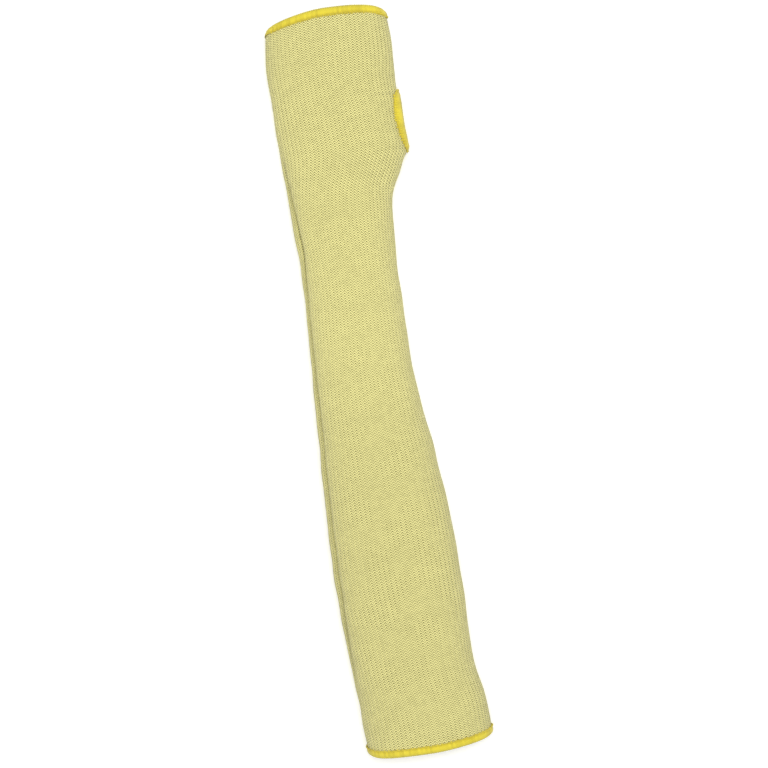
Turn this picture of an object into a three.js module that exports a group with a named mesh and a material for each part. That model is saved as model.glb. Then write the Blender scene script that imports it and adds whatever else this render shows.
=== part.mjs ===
// A knitted protective sleeve with a thumb slot, lying on its back.
// Millimetres, +Z up. +Y runs along the sleeve to its hand end, and +X is the side of the thumb.
// The sleeve is a hollow knitted tube. Its two rims and the rim of the thumb slot are bound
// with overlocked thread, each binding a channel that wraps over the edge of the knit.

import * as THREE from 'three';

// Driving sizes of the tube
const sleeveLength = 457;
const sleeveWidth = 80;
const sleeveHeight = 44;
const knitWall = 2;
const sectionPower = 2.5;
const restSink = 3;
const restBlend = 1.2;

// Driving sizes of the bindings
const bindingWidth = 5;
const bindingThickness = 0.8;
const thumbBindingWidth = 3.5;
const clearance = 0.3;
const edgePinch = 0.3;
const pinchReach = 8;

// Driving sizes of the thumb slot
const slotLength = 33;
const slotOpening = 14;
const slotAlong = 0.337;

// Driving sizes of the pressed crease on the side away from the thumb
const creaseDepth = 2.4;
const creaseSpread = 3.2;

// How far along the sleeve the fall of a rim's corners is felt
const cornerReach = 60;

// Fineness of the faceted surfaces
const columnCount = 48;
const sideCrowding = 0.15;
const rowSpacing = 15;
const slotRowAngles = [0, 11, 24, 40, 62, 90];
const thumbLoopSteps = 36;
const thumbLegSteps = 2;

// Sections from the arm end to the hand end.
// at is a share of the length from the middle, far and thumb are where the two sides lie,
// as shares of the width from the axis, and tall is a share of the height.
const sections = [
  { at: -0.5, far: 0.452, thumb: 0.515, tall: 0.9 },
  { at: -0.447, far: 0.462, thumb: 0.5, tall: 0.94 },
  { at: -0.394, far: 0.481, thumb: 0.449, tall: 0.97 },
  { at: -0.341, far: 0.5, thumb: 0.446, tall: 1 },
  { at: -0.263, far: 0.521, thumb: 0.443, tall: 1 },
  { at: -0.184, far: 0.517, thumb: 0.421, tall: 0.99 },
  { at: -0.105, far: 0.503, thumb: 0.375, tall: 0.96 },
  { at: 0, far: 0.477, thumb: 0.303, tall: 0.89 },
  { at: 0.079, far: 0.46, thumb: 0.29, tall: 0.82 },
  { at: 0.158, far: 0.449, thumb: 0.284, tall: 0.77 },
  { at: 0.219, far: 0.463, thumb: 0.305, tall: 0.76 },
  { at: 0.25, far: 0.471, thumb: 0.344, tall: 0.75 },
  { at: 0.276, far: 0.476, thumb: 0.435, tall: 0.73 },
  { at: 0.298, far: 0.483, thumb: 0.492, tall: 0.71 },
  { at: 0.332, far: 0.488, thumb: 0.505, tall: 0.7 },
  { at: 0.368, far: 0.491, thumb: 0.495, tall: 0.69 },
  { at: 0.394, far: 0.496, thumb: 0.474, tall: 0.68 },
  { at: 0.446, far: 0.49, thumb: 0.47, tall: 0.68 },
  { at: 0.5, far: 0.46, thumb: 0.465, tall: 0.66 },
];

// The crease: at is a share of the length, depth a share of the crease depth, and inset
// the height of its valley over the side line, as a share of the sleeve's height.
const creaseRun = [
  { at: -0.42, depth: 0, inset: 0.16 },
  { at: -0.34, depth: 0.55, inset: 0.17 },
  { at: -0.26, depth: 1, inset: 0.2 },
  { at: -0.12, depth: 1, inset: 0.18 },
  { at: 0, depth: 0.75, inset: 0.15 },
  { at: 0.12, depth: 0.6, inset: 0.14 },
  { at: 0.21, depth: 1, inset: 0.15 },
  { at: 0.27, depth: 0.7, inset: 0.12 },
  { at: 0.33, depth: 0, inset: 0.12 },
];

// The corners of the two rims fall back from the middle of the rim. fall is a share of the width,
// and power says how late the fall comes between the middle and the corner.
const rimCorners = {
  hand: { far: { fall: 0.106, power: 2.1 }, thumb: { fall: 0.075, power: 3 } },
  arm: { far: { fall: 0.075, power: 3.4 }, thumb: { fall: 0.084, power: 1.4 } },
};

// Shallow dents: at and reach are shares of the length, across and spread shares of the width
// measured from the axis to the thumb side, deep a share of the wall. All lie on the upper face.
const dents = [
  { at: 0.262, reach: 0.02, across: 0.3, spread: 0.1, deep: 1 },
  { at: 0.405, reach: 0.012, across: 0.44, spread: 0.08, deep: 0.8 },
  { at: 0.2, reach: 0.06, across: -0.3, spread: 0.12, deep: 0.6 },
  { at: -0.33, reach: 0.05, across: -0.28, spread: 0.14, deep: 0.7 },
  { at: -0.05, reach: 0.05, across: 0.1, spread: 0.14, deep: 0.4 },
];

// A piecewise cubic through one column of a table, evaluated at a share of the length.
function tableValue(table, column, at) {
  const last = table.length - 1;
  if (at <= table[0].at) return table[0][column];
  if (at >= table[last].at) return table[last][column];
  let row = 0;
  while (at > table[row + 1].at) row += 1;
  const before = table[Math.max(row - 1, 0)];
  const start = table[row];
  const end = table[row + 1];
  const after = table[Math.min(row + 2, last)];
  const span = end.at - start.at;
  const share = (at - start.at) / span;
  const startSlope = ((end[column] - before[column]) / (end.at - before.at || span)) * span;
  const endSlope = ((after[column] - start[column]) / (after.at - start.at || span)) * span;
  const square = share * share;
  const cube = square * share;
  return (
    (2 * cube - 3 * square + 1) * start[column] +
    (cube - 2 * square + share) * startSlope +
    (3 * square - 2 * cube) * end[column] +
    (cube - square) * endSlope
  );
}

function smoothStep(value) {
  const share = Math.min(Math.max(value, 0), 1);
  return share * share * (3 - 2 * share);
}

function bell(value) {
  return Math.exp(-value * value);
}

function signedPower(value, power) {
  return Math.sign(value) * Math.abs(value) ** power;
}

// The knit stops short of the overall length by what wraps over its rim.
const rimWrap = clearance + bindingThickness;
const rimAt = sleeveLength / 2 - rimWrap;

// Near a bound edge the overlock thread pinches the knit from both faces.
function pinchNear(distance) {
  return edgePinch * smoothStep(1 - distance / pinchReach);
}

// The rims are carried clear of the surface, so that their bindings rest on it.
const bindingProud = rimWrap - pinchNear(bindingWidth - bindingThickness / 2);
const settleReach = 4 * pinchReach;

function sectionAt(along) {
  const at = along / sleeveLength;
  const far = -tableValue(sections, 'far', at) * sleeveWidth;
  const thumb = tableValue(sections, 'thumb', at) * sleeveWidth;
  const height = tableValue(sections, 'tall', at) * sleeveHeight;
  const nearRim = smoothStep(1 - (rimAt - bindingWidth - Math.abs(along)) / settleReach);
  return {
    centre: (far + thumb) / 2,
    halfWidth: (thumb - far) / 2,
    halfHeight: (height + restSink) / 2,
    middle: (height - restSink) / 2,
    floor: bindingProud * nearRim,
  };
}

// How far the valley of the crease is pressed in, at a height over the side line.
function creasePull(along, rise) {
  const at = along / sleeveLength;
  const depth = creaseDepth * tableValue(creaseRun, 'depth', at);
  const inset = sleeveHeight * tableValue(creaseRun, 'inset', at);
  return depth * bell((Math.abs(rise) - inset) / creaseSpread);
}

function dentPull(along, across) {
  let pull = 0;
  for (const dent of dents) {
    const alongShare = (along / sleeveLength - dent.at) / dent.reach;
    const acrossShare = (across / sleeveWidth - dent.across) / dent.spread;
    pull += dent.deep * knitWall * bell(alongShare) * bell(acrossShare);
  }
  return pull;
}

// The corner of a rim falls back towards the sleeve's middle, less and less away from the rim.
function cornerFall(along, side) {
  const rim = along > 0 ? rimCorners.hand : rimCorners.arm;
  const corner = side > 0 ? rim.thumb : rim.far;
  const fall = corner.fall * sleeveWidth * Math.abs(side) ** corner.power;
  return Math.sign(along) * fall * smoothStep(1 - (rimAt - Math.abs(along)) / cornerReach);
}

// The underside is flat where it rests and runs into the sides in a small curve.
function settled(height, floor) {
  const over = height - floor;
  if (over <= -restBlend) return floor;
  if (over >= restBlend) return height;
  return floor + (over + restBlend) ** 2 / (4 * restBlend);
}

// A point of the wall: along the sleeve, at an angle round it from the thumb side over the top,
// and at a depth under the outer face of the knit.
function wallPoint(along, angle, depth) {
  const section = sectionAt(along);
  const cosine = Math.cos(angle);
  const sine = Math.sin(angle);
  const side = signedPower(cosine, 2 / sectionPower);
  const lift = signedPower(sine, 2 / sectionPower);
  const normal = new THREE.Vector2(
    signedPower(cosine, 2 - 2 / sectionPower) / section.halfWidth,
    signedPower(sine, 2 - 2 / sectionPower) / section.halfHeight,
  ).normalize();
  let pull = 0;
  if (side < 0) pull += creasePull(along, lift * section.halfHeight);
  if (lift > 0) pull += dentPull(along, section.centre + side * section.halfWidth) * lift;
  const x = section.centre + side * (section.halfWidth - depth) - pull * normal.x;
  const z = section.middle + lift * (section.halfHeight - depth) - pull * normal.y;
  const y = along - cornerFall(along, side);
  return new THREE.Vector3(x, y, settled(z, section.floor + depth));
}

// The thumb slot is an ellipse in side view, cut through the side of the tube.
const slotMiddle = slotAlong * sleeveLength;

function slotRise(along) {
  const share = (along - slotMiddle) / (slotLength / 2);
  return (slotOpening / 2) * Math.sqrt(Math.max(1 - share * share, 0));
}

// The angle round the section at which the outer face lies at a height over its side line.
function angleAtRise(along, rise) {
  const share = rise / sectionAt(along).halfHeight;
  return Math.asin(signedPower(share, sectionPower / 2));
}

// How far each face of the knit is pinched at a place on the tube.
function pinchAt(along, rise, thumbSide) {
  const toRim = rimAt - Math.abs(along);
  if (!thumbSide) return pinchNear(toRim);
  const alongOver = (along - slotMiddle) / (slotLength / 2);
  const riseOver = rise / (slotOpening / 2);
  const toSlot = (Math.hypot(alongOver, riseOver) - 1) * (slotOpening / 2);
  return Math.max(pinchNear(toRim), pinchNear(Math.max(toSlot, 0)));
}

// Angles round the tube, crowded at its two sides. Where the slot is open, the columns run
// from its upper lip over the top and the underside to its lower lip.
function columnAngle(column, along) {
  const lip = angleAtRise(along, slotRise(along));
  const turn = (2 * Math.PI * column) / columnCount;
  const crowded = turn - sideCrowding * Math.sin(2 * turn);
  return lip + crowded * (1 - lip / Math.PI);
}

// Rows along the tube: the rims, the inner edges of the bindings, close rows at the slot,
// and even rows between them.
function evenRows(from, to, spacing) {
  const count = Math.max(Math.round((to - from) / spacing), 1);
  return Array.from({ length: count }, (_, index) => from + ((to - from) * index) / count);
}

function slotRows() {
  const half = slotRowAngles.map((degrees) => Math.cos(THREE.MathUtils.degToRad(degrees)));
  const lower = half.map((share) => slotMiddle - (share * slotLength) / 2);
  const upper = half.slice(0, -1).reverse().map((share) => slotMiddle + (share * slotLength) / 2);
  return [...lower, ...upper];
}

function tubeRows() {
  const inner = rimAt - bindingWidth;
  const slotStart = slotMiddle - slotLength / 2;
  const slotEnd = slotMiddle + slotLength / 2;
  const boundStart = slotStart - thumbBindingWidth;
  const boundEnd = slotEnd + thumbBindingWidth;
  const shoulder = boundStart - slotLength;
  return [
    -rimAt,
    ...evenRows(-inner, shoulder, rowSpacing),
    ...evenRows(shoulder, boundStart, rowSpacing / 2),
    ...evenRows(boundStart, slotStart, thumbBindingWidth / 2),
    ...slotRows(),
    ...evenRows(slotEnd, boundEnd, thumbBindingWidth / 2).slice(1),
    ...evenRows(boundEnd, inner, rowSpacing),
    inner,
    rimAt,
  ];
}

function meshFrom(name, points, faces, material) {
  const geometry = new THREE.BufferGeometry();
  const positions = new Float32Array(points.flatMap((point) => [point.x, point.y, point.z]));
  geometry.setAttribute('position', new THREE.BufferAttribute(positions, 3));
  geometry.setIndex(faces);
  geometry.computeVertexNormals();
  const mesh = new THREE.Mesh(geometry, material);
  mesh.name = name;
  return mesh;
}

function addQuad(faces, a, b, c, d) {
  faces.push(a, b, c, a, c, d);
}

// The tube: an outer and an inner skin on one grid, joined at both rims and round the slot.
function sleeveBody(material) {
  const rows = tubeRows();
  const points = [];
  const index = rows.map(() => ({ outer: [], inner: [] }));
  const isOpen = rows.map((along) => slotRise(along) > 1e-6);
  rows.forEach((along, row) => {
    const ends = isOpen[row] ? columnCount + 1 : columnCount;
    for (let column = 0; column < ends; column += 1) {
      const angle = columnAngle(column, along);
      const section = sectionAt(along);
      const rise = section.halfHeight * signedPower(Math.sin(angle), 2 / sectionPower);
      const pinch = pinchAt(along, rise, Math.cos(angle) > 0);
      index[row].outer[column] = points.push(wallPoint(along, angle, pinch)) - 1;
      index[row].inner[column] = points.push(wallPoint(along, angle, knitWall - pinch)) - 1;
    }
    if (!isOpen[row]) {
      index[row].outer[columnCount] = index[row].outer[0];
      index[row].inner[columnCount] = index[row].inner[0];
    }
  });
  const faces = [];
  for (let row = 0; row < rows.length - 1; row += 1) {
    const near = index[row];
    const next = index[row + 1];
    for (let column = 0; column < columnCount; column += 1) {
      const over = column + 1;
      addQuad(faces, near.outer[column], next.outer[column], next.outer[over], near.outer[over]);
      addQuad(faces, near.inner[column], near.inner[over], next.inner[over], next.inner[column]);
    }
    if (isOpen[row] || isOpen[row + 1]) {
      const last = columnCount;
      addQuad(faces, near.outer[0], near.inner[0], next.inner[0], next.outer[0]);
      addQuad(faces, near.outer[last], next.outer[last], next.inner[last], near.inner[last]);
    }
  }
  const arm = index[0];
  const hand = index[rows.length - 1];
  for (let column = 0; column < columnCount; column += 1) {
    const over = column + 1;
    addQuad(faces, arm.outer[column], arm.outer[over], arm.inner[over], arm.inner[column]);
    addQuad(faces, hand.outer[column], hand.inner[column], hand.inner[over], hand.outer[over]);
  }
  return meshFrom('sleeve_body', points, faces, material);
}

// Even stops from one value to another, both included.
function stops(from, to, steps) {
  return Array.from({ length: steps + 1 }, (_, index) => from + ((to - from) * index) / steps);
}

// The section of a binding, as distance in from the knit's edge and depth under the knit's
// outer face: up the outer leg, round over the edge, and back along the inner leg.
function bindingSection(width, legSteps) {
  const tip = width - bindingThickness / 2;
  const outerFace = (inward) => pinchNear(inward) - clearance;
  const innerFace = (inward) => knitWall - outerFace(inward);
  const overOuter = (inward) => ({ inward, depth: outerFace(inward) - bindingThickness });
  const overInner = (inward) => ({ inward, depth: innerFace(inward) + bindingThickness });
  const underOuter = (inward) => ({ inward, depth: outerFace(inward) });
  const underInner = (inward) => ({ inward, depth: innerFace(inward) });
  return [
    ...stops(tip, 0, legSteps).map(overOuter),
    { inward: -rimWrap, depth: knitWall * 0.3 },
    { inward: -rimWrap, depth: knitWall * 0.7 },
    ...stops(0, tip, legSteps).map(overInner),
    ...stops(width, -clearance, legSteps).map(underInner),
    ...stops(-clearance, width, legSteps).map(underOuter),
  ];
}

// Joins rings of points, each one section of a closed channel, into a closed loop.
function closedLoop(name, rings, material) {
  const size = rings[0].length;
  const faces = [];
  rings.forEach((ring, step) => {
    const next = (step + 1) % rings.length;
    for (let corner = 0; corner < size; corner += 1) {
      const over = (corner + 1) % size;
      const here = step * size;
      const there = next * size;
      addQuad(faces, here + corner, there + corner, there + over, here + over);
    }
  });
  return meshFrom(name, rings.flat(), faces, material);
}

// A rim binding has one section at each column of the tube. end is 1 at the hand, -1 at the arm.
function rimBinding(name, end, material) {
  const section = bindingSection(bindingWidth, 1);
  const ordered = end > 0 ? [...section].reverse() : section;
  const rings = [];
  for (let column = 0; column < columnCount; column += 1) {
    const angle = columnAngle(column, end * rimAt);
    rings.push(ordered.map(({ inward, depth }) => (
      wallPoint(end * (rimAt - inward), angle, depth)
    )));
  }
  return closedLoop(name, rings, material);
}

// The thumb binding follows the slot's ellipse, its legs set out square to the ellipse.
function thumbBinding(name, material) {
  const section = bindingSection(thumbBindingWidth, thumbLegSteps);
  const rings = [];
  for (let step = 0; step < thumbLoopSteps; step += 1) {
    const turn = (2 * Math.PI * step) / thumbLoopSteps;
    const edge = new THREE.Vector2(
      (slotLength / 2) * Math.cos(turn),
      (slotOpening / 2) * Math.sin(turn),
    );
    const away = new THREE.Vector2(
      Math.cos(turn) / slotLength,
      Math.sin(turn) / slotOpening,
    ).normalize();
    rings.push(section.map(({ inward, depth }) => {
      const along = slotMiddle + edge.x + away.x * inward;
      const rise = edge.y + away.y * inward;
      return wallPoint(along, angleAtRise(along, rise), depth);
    }));
  }
  return closedLoop(name, rings, material);
}

const knitMaterial = new THREE.MeshStandardMaterial({
  color: new THREE.Color().setRGB(0.855, 0.83, 0.555, THREE.SRGBColorSpace),
  roughness: 0.92,
  metalness: 0,
});

function bindingMaterial() {
  return new THREE.MeshStandardMaterial({
    color: new THREE.Color().setRGB(0.91, 0.83, 0.27, THREE.SRGBColorSpace),
    roughness: 0.8,
    metalness: 0,
  });
}

const sleeve = new THREE.Group();
sleeve.add(sleeveBody(knitMaterial));
sleeve.add(rimBinding('hand_binding', 1, bindingMaterial()));
sleeve.add(rimBinding('arm_binding', -1, bindingMaterial()));
sleeve.add(thumbBinding('thumb_binding', bindingMaterial()));

// The origin is under the middle of the whole sleeve, on the surface that it lies on.
const box = new THREE.Box3().setFromObject(sleeve);
sleeve.position.set(-(box.min.x + box.max.x) / 2, -(box.min.y + box.max.y) / 2, -box.min.z);

export default sleeve;
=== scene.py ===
"""A knitted protective sleeve, lying on its back on a pale floor, seen from straight above.

Lengths are millimetres until a mesh is made. Along is the distance from the sleeve's middle towards
its hand end, angle runs round the tube from the thumb side over the top, and depth lies under the
outer face of the knit.
"""

import bmesh
import bpy
import math
import numpy as np
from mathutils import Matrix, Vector


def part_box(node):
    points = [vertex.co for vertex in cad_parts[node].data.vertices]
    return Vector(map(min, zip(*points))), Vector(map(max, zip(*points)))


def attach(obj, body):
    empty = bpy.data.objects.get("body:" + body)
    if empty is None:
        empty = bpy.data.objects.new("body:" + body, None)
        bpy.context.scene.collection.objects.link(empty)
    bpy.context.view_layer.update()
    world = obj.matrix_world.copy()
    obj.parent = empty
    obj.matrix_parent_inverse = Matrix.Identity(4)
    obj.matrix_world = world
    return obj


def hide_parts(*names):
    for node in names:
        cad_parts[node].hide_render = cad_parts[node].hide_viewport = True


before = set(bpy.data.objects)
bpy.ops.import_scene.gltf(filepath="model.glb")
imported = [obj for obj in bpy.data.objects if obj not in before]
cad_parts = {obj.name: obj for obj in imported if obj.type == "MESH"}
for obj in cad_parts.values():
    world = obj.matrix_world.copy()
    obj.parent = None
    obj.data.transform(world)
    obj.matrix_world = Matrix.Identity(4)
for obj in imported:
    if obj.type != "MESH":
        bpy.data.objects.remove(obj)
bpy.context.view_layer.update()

METRES = 0.001
random = np.random.default_rng(18)

# Driving sizes of the sleeve, as in its solids
SLEEVE_LENGTH = 457.0
SLEEVE_WIDTH = 80.0
SLEEVE_HEIGHT = 44.0
KNIT_WALL = 2.0
SECTION_POWER = 2.5
REST_SINK = 3.0
REST_BLEND = 1.2
BINDING_WIDTH = 5.0
BINDING_THICKNESS = 0.8
CLEARANCE = 0.3
EDGE_PINCH = 0.3
PINCH_REACH = 8.0
CORNER_REACH = 60.0

# How wide the thread lies over each edge
HAND_BAND = 4.3
ARM_BAND = 3.9
THUMB_BAND = 3.9

# The thumb slot. Its middle is a share of the length, and the line through it is lifted and tilted
# a little. The wales part for it, smoothly over a wide stretch and more sharply by its lip.
SLOT_LENGTH = 32.0
SLOT_OPENING = 14.0
SLOT_ALONG = 0.3396
SLOT_LIFT = 0.55
SLOT_TILT = 0.3
SLOT_POWER = 3.4
SLOT_SPREAD = 14.0
LIP_SPREAD = 4.0
PARTING_REACH = 0.62 * SLOT_LENGTH

# The pressed fold: a wide valley with a fine groove in it
CREASE_DEPTH = 2.4
CREASE_SPREAD = 3.2
GROOVE_DEPTH = 2.4
GROOVE_SPREAD = 1.0

RIM_WRAP = CLEARANCE + BINDING_THICKNESS
RIM_AT = SLEEVE_LENGTH / 2 - RIM_WRAP
SLOT_MIDDLE = SLOT_ALONG * SLEEVE_LENGTH

# The knit: stitches round the tube and along it, as counted in the photo
WALES = 72
COURSES = 295
COURSE_PITCH = 2 * RIM_AT / COURSES
COLUMNS_PER_WALE = 4
COLUMNS = WALES * COLUMNS_PER_WALE
RIB_RELIEF = 0.13

# Sections from the arm end to the hand end. at is a share of the length from the middle, far and
# thumb are where the two sides lie, as shares of the width, and tall is a share of the height.
SECTIONS = np.array(
    [
        (-0.5, 0.452, 0.515, 0.9),
        (-0.447, 0.462, 0.5, 0.94),
        (-0.394, 0.481, 0.449, 0.97),
        (-0.341, 0.5, 0.446, 1),
        (-0.263, 0.521, 0.443, 1),
        (-0.184, 0.517, 0.421, 0.99),
        (-0.105, 0.503, 0.375, 0.96),
        (0, 0.477, 0.303, 0.89),
        (0.079, 0.46, 0.29, 0.82),
        (0.158, 0.449, 0.291, 0.77),
        (0.219, 0.463, 0.316, 0.76),
        (0.25, 0.471, 0.342, 0.75),
        (0.276, 0.476, 0.419, 0.73),
        (0.288, 0.48, 0.452, 0.72),
        (0.3, 0.483, 0.495, 0.71),
        (0.314, 0.486, 0.514, 0.705),
        (0.332, 0.488, 0.512, 0.7),
        (0.364, 0.491, 0.505, 0.69),
        (0.381, 0.493, 0.48, 0.685),
        (0.394, 0.491, 0.475, 0.68),
        (0.446, 0.502, 0.481, 0.68),
        (0.5, 0.472, 0.473, 0.66),
    ],
    dtype=[("at", float), ("far", float), ("thumb", float), ("tall", float)],
)

# The run of the pressed fold: depth is a share of its full depth, inset the height of its valley
# over the side line as a share of the sleeve's height.
CREASE_RUN = np.array(
    [
        (-0.42, 0, 0.16),
        (-0.34, 0.55, 0.17),
        (-0.26, 1, 0.2),
        (-0.12, 1, 0.19),
        (0, 0.9, 0.17),
        (0.12, 0.45, 0.16),
        (0.21, 1, 0.17),
        (0.27, 0.4, 0.14),
        (0.33, 0, 0.13),
    ],
    dtype=[("at", float), ("depth", float), ("inset", float)],
)

# Shallow dents of the upper face: at and reach are shares of the length, across and spread shares
# of the width, deep a share of the wall.
DENTS = np.array(
    [
        (0.262, 0.02, 0.3, 0.1, 1),
        (0.405, 0.012, 0.44, 0.08, 0.8),
        (0.2, 0.06, -0.3, 0.12, 0.6),
        (-0.33, 0.05, -0.28, 0.14, 0.7),
        (-0.05, 0.05, 0.1, 0.14, 0.4),
    ],
    dtype=[(name, float) for name in ("at", "reach", "across", "spread", "deep")],
)

# The corners of the two rims fall back: first a share of the width, then the power that says how
# late, then a further share that rounds the very corner, with the power CORNER_TURN.
RIM_CORNERS = {
    "hand": {"far": (0.085, 1.6, 0.03), "thumb": (0.045, 3.0, 0.032)},
    "arm": {"far": (0.015, 4.0, 0.03), "thumb": (0.052, 1.6, 0.02)},
}
CORNER_TURN = 16


# Small functions of numbers and arrays


def table_value(table, column, at):
    """A piecewise cubic through one column of a table."""
    knots, values = table["at"], table[column]
    at = np.clip(at, knots[0], knots[-1])
    row = np.clip(np.searchsorted(knots, at, side="left") - 1, 0, len(knots) - 2)
    before, after = np.maximum(row - 1, 0), np.minimum(row + 2, len(knots) - 1)
    span = knots[row + 1] - knots[row]
    share = (at - knots[row]) / span
    start_slope = (values[row + 1] - values[before]) / (knots[row + 1] - knots[before]) * span
    end_slope = (values[after] - values[row]) / (knots[after] - knots[row]) * span
    square, cube = share**2, share**3
    return (
        (2 * cube - 3 * square + 1) * values[row]
        + (cube - 2 * square + share) * start_slope
        + (3 * square - 2 * cube) * values[row + 1]
        + (cube - square) * end_slope
    )


def smooth_step(value):
    """Rises smoothly from 0 to 1 as the value does."""
    share = np.clip(value, 0, 1)
    return share * share * (3 - 2 * share)


def bell(value):
    """A hump that is 1 at 0 and fades out to both sides."""
    return np.exp(-(value**2))


def signed_power(value, power):
    """A power of the value's size, with the value's sign."""
    return np.sign(value) * np.abs(value) ** power


def stops(start, end, spacing):
    """Even stops from start up to, but not including, end."""
    count = max(round((end - start) / spacing), 1)
    return np.linspace(start, end, count, endpoint=False)


# The surface of the sleeve


def pinch_near(distance):
    """How far the overlock thread pinches each face of the knit at a distance from its edge."""
    return EDGE_PINCH * smooth_step(1 - distance / PINCH_REACH)


BINDING_PROUD = RIM_WRAP - pinch_near(BINDING_WIDTH - BINDING_THICKNESS / 2)


def section_at(along):
    """The cross-section at a distance along: its centre, half sizes, middle height and floor."""
    at = along / SLEEVE_LENGTH
    far = -table_value(SECTIONS, "far", at) * SLEEVE_WIDTH
    thumb = table_value(SECTIONS, "thumb", at) * SLEEVE_WIDTH
    height = table_value(SECTIONS, "tall", at) * SLEEVE_HEIGHT
    settle_reach = 4 * PINCH_REACH
    near_rim = smooth_step(1 - (RIM_AT - BINDING_WIDTH - np.abs(along)) / settle_reach)
    return {
        "centre": (far + thumb) / 2,
        "half_width": (thumb - far) / 2,
        "half_height": (height + REST_SINK) / 2,
        "middle": (height - REST_SINK) / 2,
        "floor": BINDING_PROUD * near_rim,
    }


def crease_pull(along, rise):
    """How deep the two valleys of the pressed side are, over and under its side line."""
    at = along / SLEEVE_LENGTH
    share = table_value(CREASE_RUN, "depth", at)
    inset = SLEEVE_HEIGHT * table_value(CREASE_RUN, "inset", at)
    off = np.abs(rise) - inset
    valley = CREASE_DEPTH * bell(off / CREASE_SPREAD)
    groove = GROOVE_DEPTH * bell(off / GROOVE_SPREAD)
    return share * (valley + groove)


# Painted shade of the pressed fold: its spread over the groove, its gain with the fold's depth, and
# the strip's share
SHADE_SPREAD = 1.8 * GROOVE_SPREAD
SHADE_GAIN = 1.6
STRIP_SHADE = 0.1


def painted_fold_shade(along, rise, side):
    """How much painted shade the pressed fold gets: in its fine groove, and on the strip on the
    outer side of it.
    """
    at = along / SLEEVE_LENGTH
    inset = SLEEVE_HEIGHT * table_value(CREASE_RUN, "inset", at)
    groove = bell((np.abs(rise) - inset) / SHADE_SPREAD)
    strip = smooth_step((inset - np.abs(rise)) / GROOVE_SPREAD)
    share = smooth_step(SHADE_GAIN * table_value(CREASE_RUN, "depth", at))
    return (side < 0) * share * np.maximum(groove, STRIP_SHADE * strip)


def dent_pull(along, across):
    """How deep the dents of the upper face are."""
    pull = np.zeros(np.broadcast(along, across).shape)
    for dent in DENTS:
        along_share = (along / SLEEVE_LENGTH - dent["at"]) / dent["reach"]
        across_share = (across / SLEEVE_WIDTH - dent["across"]) / dent["spread"]
        pull += dent["deep"] * KNIT_WALL * bell(along_share) * bell(across_share)
    return pull


def corner_fall(along, side):
    """How far a rim falls back towards the sleeve's middle at its corners."""
    fall = np.zeros(np.broadcast(along, side).shape)
    for rim, end in (("hand", 1), ("arm", -1)):
        for corner, facing in (("thumb", 1), ("far", -1)):
            share, power, turn = RIM_CORNERS[rim][corner]
            here = (end * along > 0) & (facing * side > 0)
            drop = share * np.abs(side) ** power + turn * np.abs(side) ** CORNER_TURN
            fall += here * end * drop * SLEEVE_WIDTH
    return fall * smooth_step(1 - (RIM_AT - np.abs(along)) / CORNER_REACH)


def settled(height, floor):
    """The underside is flat where it rests and runs into the sides in a small curve."""
    over = height - floor
    curve = floor + (over + REST_BLEND) ** 2 / (4 * REST_BLEND)
    return np.where(over <= -REST_BLEND, floor, np.where(over >= REST_BLEND, height, curve))


# Slow unevenness of a hand-laid knit: each wave has turns along the sleeve and round it
WAVE_COUNT = 14
WAVE_HEIGHT = 0.16
TURNS_ALONG = (3, 22)
TURNS_ROUND = (0, 5)
WAVES = [
    (random.uniform(*TURNS_ALONG), random.integers(*TURNS_ROUND), random.uniform(0, 2 * math.pi))
    for _ in range(WAVE_COUNT)
]


def unevenness(along, angle):
    """How far the waves lift the face at a point."""
    total = np.zeros(np.broadcast(along, angle).shape)
    for turns, around, phase in WAVES:
        total += np.sin(2 * math.pi * turns * along / SLEEVE_LENGTH + around * angle + phase)
    return WAVE_HEIGHT * total / math.sqrt(WAVE_COUNT / 2)


def wall_point(along, angle, depth, uneven=1.0):
    """A point of the wall, in millimetres, before the shift to the frame's origin."""
    section = section_at(along)
    cosine, sine = np.cos(angle), np.sin(angle)
    side = signed_power(cosine, 2 / SECTION_POWER)
    lift = signed_power(sine, 2 / SECTION_POWER)
    normal_x = signed_power(cosine, 2 - 2 / SECTION_POWER) / section["half_width"]
    normal_z = signed_power(sine, 2 - 2 / SECTION_POWER) / section["half_height"]
    size = np.hypot(normal_x, normal_z)
    normal_x, normal_z = normal_x / size, normal_z / size
    across = section["centre"] + side * section["half_width"]
    pull = np.where(side < 0, crease_pull(along, lift * section["half_height"]), 0)
    pull = pull + np.where(lift > 0, dent_pull(along, across) * lift, 0)
    pull = pull - uneven * unevenness(along, angle) * smooth_step(lift + 1)
    x = section["centre"] + side * (section["half_width"] - depth) - pull * normal_x
    z = section["middle"] + lift * (section["half_height"] - depth) - pull * normal_z
    y = along - corner_fall(along, side)
    z = settled(z, section["floor"] + depth)
    return np.stack(np.broadcast_arrays(x, y, z), axis=-1)


def slot_rise(along):
    """Half the slot's opening at a distance along."""
    share = np.abs(along - SLOT_MIDDLE) / (SLOT_LENGTH / 2)
    return SLOT_OPENING / 2 * np.maximum(1 - share**SLOT_POWER, 0) ** (1 / SLOT_POWER)


def slot_lift(along):
    """How far above the side line the slot's middle lies, which the wales near it follow."""
    share = (along - SLOT_MIDDLE) / SLOT_LENGTH
    return (SLOT_LIFT + 2 * SLOT_TILT * share) * bell(share)


def angle_at_rise(along, rise):
    """The angle at which the thumb side lies at a height over its side line."""
    share = rise / section_at(along)["half_height"]
    return np.arcsin(signed_power(share, SECTION_POWER / 2))


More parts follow.
